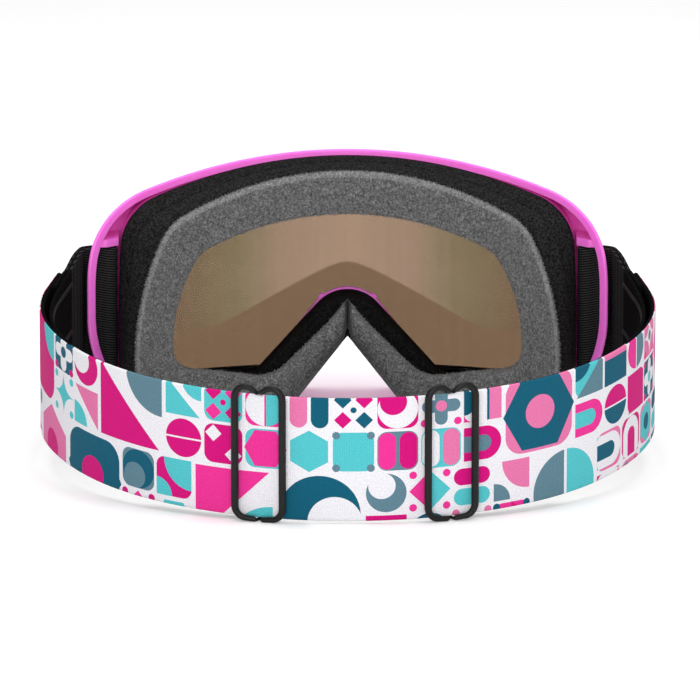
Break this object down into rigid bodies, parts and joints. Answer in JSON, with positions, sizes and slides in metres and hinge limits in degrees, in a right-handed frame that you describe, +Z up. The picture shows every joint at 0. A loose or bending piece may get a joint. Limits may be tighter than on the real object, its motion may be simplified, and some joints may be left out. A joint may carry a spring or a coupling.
{
  "type": "sports protective goggles",
  "caption": "Snow goggles: curved frame with double tinted lens and layered foam face seal, on a wide elastic head strap with adjusting sliders.",
  "frame": {"origin": "on the floor under the middle of the whole goggles, strap included", "axes": "+X to the wearer's right, +Y the way the wearer looks, +Z up"},
  "size_m": [0.1936, 0.1978, 0.0838],
  "materials": {
    "frame_plastic": "flexible moulded plastic, glossy pink, satin inside",
    "lens_tint": "bronze tinted polycarbonate, clear, outer face lightly mirrored",
    "spacer_foam": "black closed-cell foam gasket",
    "black_foam": "black open-cell face foam",
    "grey_fleece": "grey brushed fleece facing",
    "vent_mesh": "black reticulated filter foam",
    "black_plastic": "black moulded nylon, satin",
    "black_web": "black woven elastic webbing",
    "printed_web": "woven elastic, printed with a geometric pattern in pinks, teal and white",
    "silicone": "silicone grip lines"
  },
  "bodies": {
    "goggles": {"frame_shell": "frame_plastic", "outer_lens": "lens_tint", "lens_spacer": "spacer_foam", "inner_lens": "lens_tint", "face_foam_base": "black_foam", "face_foam_mid": "black_foam", "face_fleece": "grey_fleece", "top_vent_foam": "vent_mesh", "bottom_vent_foam_left": "vent_mesh", "bottom_vent_foam_right": "vent_mesh", "anchor_bar_left": "black_plastic", "anchor_bar_right": "black_plastic", "anchor_web_left": "black_web", "anchor_web_right": "black_web"},
    "strap": {"printed_band": "printed_web", "adjuster_web_left": "black_web", "adjuster_web_right": "black_web", "web_tail_left": "black_web", "web_tail_right": "black_web", "grip_lines_left": "silicone", "grip_lines_right": "silicone"},
    "left_slider": {"slider_left": "black_plastic", "slider_hem_left": "black_web"},
    "right_slider": {"slider_right": "black_plastic", "slider_hem_right": "black_web"}
  },
  "joints": [
    {"name": "strap_tilt", "type": "hinge", "parent": "goggles", "child": "strap", "pos_m": [0, 0.04617, 0.03738], "axis": [-1, 0, 0], "range_deg": [-30, 60]},
    {"name": "left_slider_travel", "type": "hinge", "parent": "strap", "child": "left_slider", "pos_m": [0, 0.00641, 0.03306], "axis": [0, -0.108, 0.9942], "range_deg": [-14.5, 9.9]},
    {"name": "right_slider_travel", "type": "hinge", "parent": "strap", "child": "right_slider", "pos_m": [0, 0.00641, 0.03306], "axis": [0, -0.108, 0.9942], "range_deg": [-12.6, 11.8]}
  ]
}
